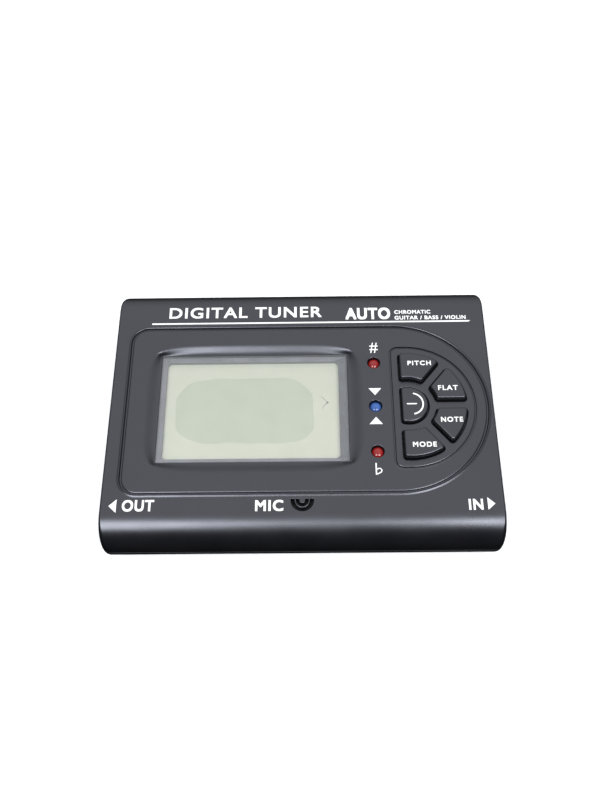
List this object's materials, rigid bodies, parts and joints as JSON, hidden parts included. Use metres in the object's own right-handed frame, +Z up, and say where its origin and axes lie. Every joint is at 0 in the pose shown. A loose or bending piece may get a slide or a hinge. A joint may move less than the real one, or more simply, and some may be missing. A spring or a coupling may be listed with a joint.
{
  "type": "desktop instrument tuner",
  "caption": "Flat desktop chromatic instrument tuner with a segment display, a fan of function keys, tuning lamps, a microphone, and an input and an output jack.",
  "frame": {"origin": "centre of the case's outline, at the level of the feet's undersides", "axes": "+Z up, out of the face with the display; +X to the right, toward the input jack; +Y to the back, toward the battery door"},
  "size_m": [0.105, 0.0786, 0.0184],
  "materials": {
    "top_plastic": "satin moulded ABS, near black",
    "bottom_plastic": "fine textured ABS, near black",
    "window_plastic": "clear acrylic, polished",
    "tape": "grey foam tape",
    "lcd_film": "matt greenish grey film",
    "lcd_glass": "polished thin glass",
    "white_plastic": "white moulded plastic",
    "contact_rubber": "striped silicone rubber",
    "circuit_board": "green solder mask over glass epoxy",
    "epoxy": "black epoxy",
    "can_metal": "drawn aluminium",
    "lamp_red": "tinted epoxy lens, red",
    "lamp_blue": "tinted epoxy lens, blue",
    "tinned_metal": "tinned steel",
    "soft_rubber": "matt black rubber",
    "felt": "black felt",
    "jack_plastic": "black moulded plastic",
    "nickel": "nickel plated",
    "contact_metal": "spring metal, plated",
    "silicone": "translucent grey silicone rubber",
    "carbon": "conductive carbon rubber",
    "key_plastic": "matt black moulded plastic",
    "cell_jacket": "printed film over a steel can",
    "wire_red": "red insulation",
    "wire_black": "black insulation",
    "screw_steel": "blackened steel"
  },
  "bodies": {
    "tuner": {"top_shell": "top_plastic", "bottom_shell": "bottom_plastic", "window_adhesive": "tape", "display_window": "window_plastic", "lcd_polarizer": "lcd_film", "lcd_front_glass": "lcd_glass", "lcd_rear_glass": "lcd_glass", "lcd_reflector": "lcd_film", "lcd_holder": "white_plastic", "zebra_strips": "contact_rubber", "main_board": "circuit_board", "tuner_chip": "epoxy", "preamp_chip": "epoxy", "quartz_crystal": "can_metal", "can_capacitors": "can_metal", "chip_parts": "epoxy", "led_sharp": "lamp_red", "led_in_tune": "lamp_blue", "led_flat": "lamp_red", "led_leads": "tinned_metal", "led_spacers": "white_plastic", "mic_capsule": "can_metal", "mic_boot": "soft_rubber", "mic_felt": "felt", "mic_pins": "tinned_metal", "input_jack_housing": "jack_plastic", "input_jack_sleeve": "nickel", "input_jack_terminals": "contact_metal", "input_switch_blade": "contact_metal", "output_jack_housing": "jack_plastic", "output_jack_sleeve": "nickel", "output_jack_terminals": "contact_metal", "dome_sheet": "silicone", "dome_pitch": "silicone", "dome_flat": "silicone", "dome_power": "silicone", "dome_note": "silicone", "dome_mode": "silicone", "battery_left": "cell_jacket", "battery_right": "cell_jacket", "battery_spring": "tinned_metal", "battery_plate": "tinned_metal", "battery_wire_red": "wire_red", "battery_wire_black": "wire_black", "case_screws": "screw_steel", "board_screws": "tinned_metal", "rubber_feet": "soft_rubber"},
    "pitch_key": {"key_pitch": "key_plastic", "pill_pitch": "carbon"},
    "flat_key": {"key_flat": "key_plastic", "pill_flat": "carbon"},
    "power_key": {"key_power": "key_plastic", "pill_power": "carbon"},
    "note_key": {"key_note": "key_plastic", "pill_note": "carbon"},
    "mode_key": {"key_mode": "key_plastic", "pill_mode": "carbon"},
    "door": {"battery_door": "bottom_plastic"},
    "input_leaf": {"input_tip_leaf": "contact_metal"},
    "output_leaf": {"output_tip_leaf": "contact_metal"}
  },
  "joints": [
    {"name": "pitch_press", "type": "slide", "parent": "tuner", "child": "pitch_key", "axis": [0, 0, -1], "range_m": [0, 0.0011], "stiffness_N_per_m": 700, "springref_m": -0.0006, "deforming": ["dome_pitch"]},
    {"name": "flat_press", "type": "slide", "parent": "tuner", "child": "flat_key", "axis": [0, 0, -1], "range_m": [0, 0.0011], "stiffness_N_per_m": 700, "springref_m": -0.0006, "deforming": ["dome_flat"]},
    {"name": "power_press", "type": "slide", "parent": "tuner", "child": "power_key", "axis": [0, 0, -1], "range_m": [0, 0.0011], "stiffness_N_per_m": 700, "springref_m": -0.0006, "deforming": ["dome_power"]},
    {"name": "note_press", "type": "slide", "parent": "tuner", "child": "note_key", "axis": [0, 0, -1], "range_m": [0, 0.0011], "stiffness_N_per_m": 700, "springref_m": -0.0006, "deforming": ["dome_note"]},
    {"name": "mode_press", "type": "slide", "parent": "tuner", "child": "mode_key", "axis": [0, 0, -1], "range_m": [0, 0.0011], "stiffness_N_per_m": 700, "springref_m": -0.0006, "deforming": ["dome_mode"]},
    {"name": "door_slide", "type": "slide", "parent": "tuner", "child": "door", "axis": [0, 1, 0], "range_m": [0, 0.012]},
    {"name": "input_leaf_lift", "type": "hinge", "parent": "tuner", "child": "input_leaf", "pos_m": [0.0415, -0.0265, 0.013], "axis": [0, 1, 0], "range_deg": [0, 2], "stiffness_Nm_per_rad": 0.6, "springref_deg": -0.57},
    {"name": "output_leaf_lift", "type": "hinge", "parent": "tuner", "child": "output_leaf", "pos_m": [-0.0415, -0.0265, 0.013], "axis": [0, -1, 0], "range_deg": [0, 2], "stiffness_Nm_per_rad": 0.6, "springref_deg": -0.57}
  ]
}
